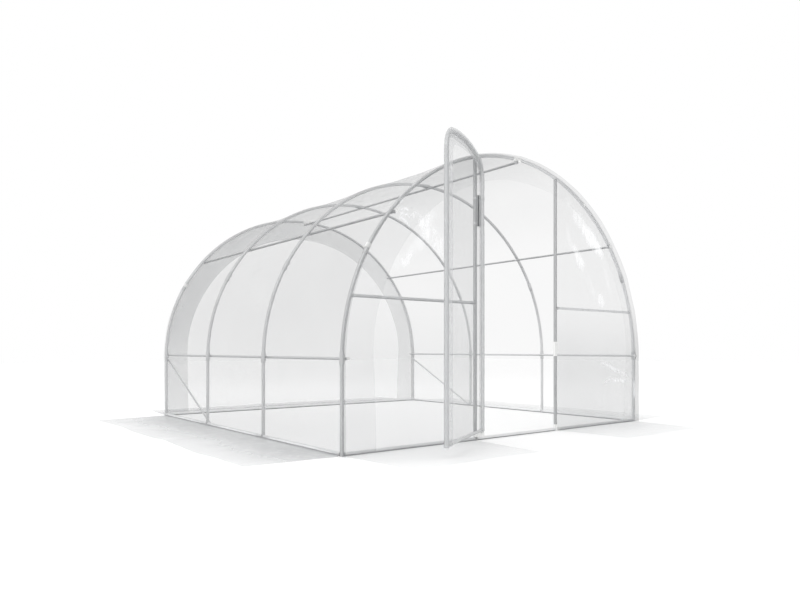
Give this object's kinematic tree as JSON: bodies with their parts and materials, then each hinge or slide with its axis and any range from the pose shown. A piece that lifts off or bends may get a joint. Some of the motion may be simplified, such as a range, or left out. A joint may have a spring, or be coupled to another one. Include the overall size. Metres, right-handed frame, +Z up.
{
  "type": "polytunnel greenhouse",
  "caption": "Walk-in polytunnel greenhouse with bent-tube hoops, rails and braces under a clear film cover, ground skirts and an arched hinged door.",
  "frame": {"origin": "on the ground at the centre of the floor plan", "axes": "+X across the tunnel, to the right of someone who faces the door wall from outside; +Y along the tunnel towards the back; +Z up"},
  "size_m": [4.2466, 4.2457, 2.0131],
  "materials": {
    "galvanised_tube": "satin pale grey zinc",
    "film": "clear, slightly hazy film",
    "skirt_film": "clear film lying flat, slightly hazy",
    "white_plastic": "moulded white",
    "dark_plastic": "moulded dark grey"
  },
  "bodies": {
    "tunnel": {"back_film": "film", "base_rail_back": "galvanised_tube", "base_rail_front": "galvanised_tube", "base_rail_left": "galvanised_tube", "base_rail_right": "galvanised_tube", "braces": "galvanised_tube", "cover_left_roof": "film", "cover_left_shoulder": "film", "cover_left_wall": "film", "cover_right_roof": "film", "cover_right_shoulder": "film", "cover_right_wall": "film", "crown_sleeves": "white_plastic", "door_post_left": "galvanised_tube", "door_post_right": "galvanised_tube", "end_rail_left": "galvanised_tube", "end_rail_right": "galvanised_tube", "front_film_left": "film", "front_film_right": "film", "front_film_valance": "film", "hinge_body": "dark_plastic", "hinge_straps": "galvanised_tube", "hoop_back_legs": "galvanised_tube", "hoop_back_ribs": "galvanised_tube", "hoop_front_legs": "galvanised_tube", "hoop_front_ribs": "galvanised_tube", "hoop_second_legs": "galvanised_tube", "hoop_second_ribs": "galvanised_tube", "hoop_third_legs": "galvanised_tube", "hoop_third_ribs": "galvanised_tube", "latch_keep": "white_plastic", "leg_sleeves": "galvanised_tube", "pivot_block": "white_plastic", "purlin_left": "galvanised_tube", "purlin_right": "galvanised_tube", "rail_caps": "white_plastic", "rib_sleeves": "galvanised_tube", "ridge_purlin": "galvanised_tube", "side_rail_left": "galvanised_tube", "side_rail_right": "galvanised_tube", "skirt_back": "skirt_film", "skirt_front": "skirt_film", "skirt_left": "skirt_film", "skirt_right": "skirt_film"},
    "door": {"door_frame": "galvanised_tube", "door_bottom_rail": "galvanised_tube", "door_film": "film"}
  },
  "joints": [
    {"name": "door_hinge", "type": "hinge", "parent": "tunnel", "child": "door", "pos_m": [-0.384, -1.53621, 0], "axis": [0, 0, 1], "range_deg": [-15, 150]}
  ]
}
